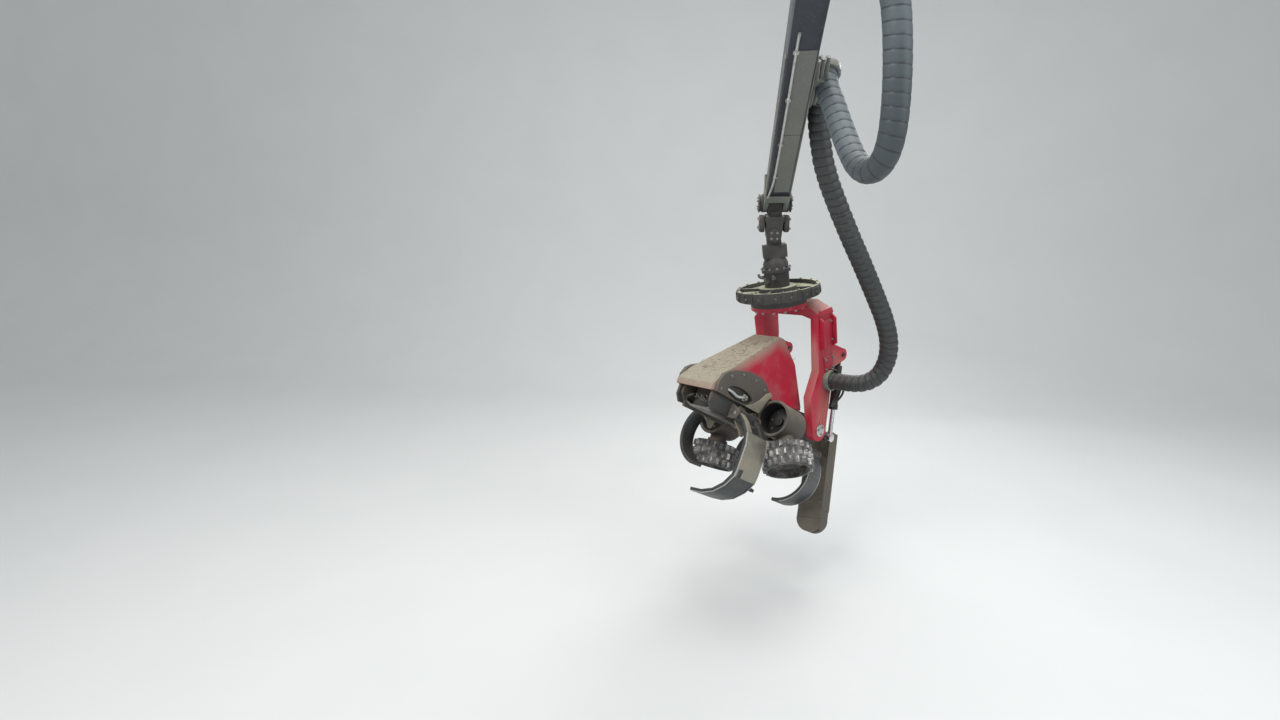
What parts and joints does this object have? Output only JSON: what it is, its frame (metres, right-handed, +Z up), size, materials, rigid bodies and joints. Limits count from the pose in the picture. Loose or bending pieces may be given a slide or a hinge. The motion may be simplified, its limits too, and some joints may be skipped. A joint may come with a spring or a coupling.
{
  "type": "harvester head hung from a crane boom extension",
  "caption": "Hooded harvester head with toothed feed rollers, delimbing knives and saw, hung by link and rotator from a crane boom extension, with draped hoses.",
  "frame": {"origin": "middle of the bore of the boom extension's inner pin", "axes": "+X along the inner pin, to the side that carries the hoses; +Y outwards to the tip; +Z up"},
  "size_m": [1.4097, 2.2499, 3.3813],
  "materials": {
    "boom_paint": "satin dark paint with dust",
    "nose_paint": "worn grey-green paint",
    "strip_steel": "worn bare strip",
    "pin_steel": "bare turned steel",
    "rod_chrome": "polished rod",
    "cast_dark": "dark oily casting",
    "red_paint": "red enamel with dust and scratches",
    "frame_paint": "dark paint caked with dust",
    "worn_steel": "worn steel with dust",
    "roller_steel": "dark toothed steel, bright at the edges",
    "cylinder_paint": "black paint",
    "hose_rubber": "black hose sleeve",
    "hose_cover": "grey-blue wrapped sleeve"
  },
  "bodies": {
    "root": {"boom_beam": "boom_paint", "boom_nose": "nose_paint", "boom_edge_strips": "strip_steel", "hose_bracket": "nose_paint", "loop_clamp": "nose_paint", "swing_brakes": "nose_paint", "hose_loop": "hose_cover", "hose_boom": "hose_rubber"},
    "link": {"link": "cast_dark", "tip_pin": "pin_steel", "lean_brakes": "cast_dark", "hose_link": "hose_rubber"},
    "hanger": {"rotator": "cast_dark", "cross_pin": "pin_steel", "hose_hanger": "hose_rubber"},
    "bracket": {"guard_disc": "cast_dark", "rotator_flange": "cast_dark", "tilt_bracket": "red_paint", "tilt_pins": "pin_steel", "hose_clamp": "nose_paint"},
    "tilt_barrel_near": {"tilt_barrel_near": "cylinder_paint"},
    "tilt_barrel_far": {"tilt_barrel_far": "cylinder_paint"},
    "tilt_rod_near": {"tilt_rod_near": "rod_chrome"},
    "tilt_rod_far": {"tilt_rod_far": "rod_chrome"},
    "head": {"side_plate_near": "frame_paint", "side_plate_far": "frame_paint", "cross_walls": "frame_paint", "bay_wall": "frame_paint", "bay_roof": "frame_paint", "axle_tube": "frame_paint", "guide_plates": "worn_steel", "hood": "red_paint", "keel_plate": "worn_steel", "valve_block": "cast_dark", "arm_pins": "pin_steel", "knife_pins": "pin_steel", "saw_box": "frame_paint", "saw_cap": "frame_paint", "saw_motor": "cast_dark"},
    "front_knife_near": {"front_knife_near": "worn_steel"},
    "front_knife_far": {"front_knife_far": "worn_steel"},
    "rear_knife_near": {"rear_knife_near": "worn_steel"},
    "rear_knife_far": {"rear_knife_far": "worn_steel"},
    "roller_arm_near": {"roller_arm_near": "frame_paint", "roller_motor_near": "cast_dark"},
    "roller_arm_far": {"roller_arm_far": "frame_paint", "roller_motor_far": "cast_dark"},
    "roller_near": {"roller_near": "roller_steel"},
    "roller_far": {"roller_far": "roller_steel"},
    "measuring_arm": {"measuring_arm": "cast_dark"},
    "measuring_wheel": {"measuring_wheel": "worn_steel"},
    "saw": {"saw_bar": "worn_steel", "saw_chain": "cast_dark"}
  },
  "joints": [
    {"name": "link_swing", "type": "hinge", "parent": "root", "child": "link", "pos_m": [0, 1.62862, -0.97857], "axis": [1, 0, 0], "range_deg": [-30, 45], "deforming": ["hose_boom"]},
    {"name": "link_lean", "type": "hinge", "parent": "link", "child": "hanger", "pos_m": [0, 1.6447, -1.18294], "axis": [0, 0.9969, 0.0785], "range_deg": [-22.5, 30], "deforming": ["hose_link"]},
    {"name": "rotator_turn", "type": "hinge", "parent": "hanger", "child": "bracket", "pos_m": [0.05025, 1.67465, -1.56347], "axis": [-0.1305, -0.0778, 0.9884], "range_deg": [-110, 110], "deforming": ["hose_hanger"]},
    {"name": "head_tilt", "type": "hinge", "parent": "bracket", "child": "head", "pos_m": [0.17856, 1.75112, -2.53506], "axis": [-0.7321, 0.6798, -0.0432], "range_deg": [-37.5, 24.5]},
    {"name": "tilt_barrel_near", "type": "hinge", "parent": "bracket", "child": "tilt_barrel_near", "pos_m": [0.51641, 1.8049, -2.0208], "axis": [0.7321, -0.6798, 0.0432], "range_deg": [-1.57, 2.41]},
    {"name": "tilt_rod_near", "type": "slide", "parent": "tilt_barrel_near", "child": "tilt_rod_near", "axis": [-0.0743, -0.1427, -0.987], "range_m": [-0.12788, 0.08355]},
    {"name": "tilt_barrel_far", "type": "hinge", "parent": "bracket", "child": "tilt_barrel_far", "pos_m": [0.17523, 2.12168, -2.04093], "axis": [0.7321, -0.6798, 0.0432], "range_deg": [-1.57, 2.41]},
    {"name": "tilt_rod_far", "type": "slide", "parent": "tilt_barrel_far", "child": "tilt_rod_far", "axis": [-0.0743, -0.1427, -0.987], "range_m": [-0.12788, 0.08355]},
    {"name": "front_knife_near", "type": "hinge", "parent": "head", "child": "front_knife_near", "pos_m": [-0.16437, 1.12217, -2.31455], "axis": [-0.6098, -0.6259, 0.4861], "range_deg": [0, 40]},
    {"name": "front_knife_far", "type": "hinge", "parent": "head", "child": "front_knife_far", "pos_m": [-0.40745, 1.40509, -2.35395], "axis": [0.6098, 0.6259, -0.4861], "range_deg": [0, 40]},
    {"name": "rear_knife_near", "type": "hinge", "parent": "head", "child": "rear_knife_near", "pos_m": [0.3235, 1.62291, -2.70344], "axis": [-0.6098, -0.6259, 0.4861], "range_deg": [0, 40]},
    {"name": "rear_knife_far", "type": "hinge", "parent": "head", "child": "rear_knife_far", "pos_m": [-0.05009, 1.77189, -2.63881], "axis": [0.6098, 0.6259, -0.4861], "range_deg": [0, 40]},
    {"name": "roller_arm_near", "type": "hinge", "parent": "head", "child": "roller_arm_near", "pos_m": [-0.02861, 1.38168, -2.40665], "axis": [-0.6098, -0.6259, 0.4861], "range_deg": [-39, 6]},
    {"name": "roller_near", "type": "hinge", "parent": "roller_arm_near", "child": "roller_near", "pos_m": [0.10641, 1.11946, -2.5749], "axis": [-0.0896, 0.6639, 0.7425], "continuous": true},
    {"name": "roller_arm_far", "type": "hinge", "parent": "head", "child": "roller_arm_far", "pos_m": [-0.18236, 1.52444, -2.41572], "axis": [0.6098, 0.6259, -0.4861], "range_deg": [-4, 41]},
    {"name": "roller_far", "type": "hinge", "parent": "roller_arm_far", "child": "roller_far", "pos_m": [-0.35584, 1.47064, -2.70262], "axis": [0.2252, 0.4512, 0.8635], "continuous": true},
    {"name": "measuring_arm", "type": "hinge", "parent": "head", "child": "measuring_arm", "pos_m": [0.03086, 1.59067, -2.55666], "axis": [0.7321, -0.6798, 0.0432], "range_deg": [-3, 8]},
    {"name": "measuring_wheel", "type": "hinge", "parent": "measuring_arm", "child": "measuring_wheel", "pos_m": [-0.12218, 1.43204, -2.45919], "axis": [0.7321, -0.6798, 0.0432], "continuous": true},
    {"name": "saw_swing", "type": "hinge", "parent": "head", "child": "saw", "pos_m": [0.44228, 1.86766, -2.72066], "axis": [0.6098, 0.6259, -0.4861], "range_deg": [0, 100]}
  ],
  "couplings": [
    {"joint": "tilt_barrel_near", "follows": "head_tilt", "ratio": -0.062905},
    {"joint": "tilt_rod_near", "follows": "head_tilt", "m_per_rad": 0.19156},
    {"joint": "tilt_barrel_far", "follows": "head_tilt", "ratio": -0.062905},
    {"joint": "tilt_rod_far", "follows": "head_tilt", "m_per_rad": 0.19156}
  ]
}
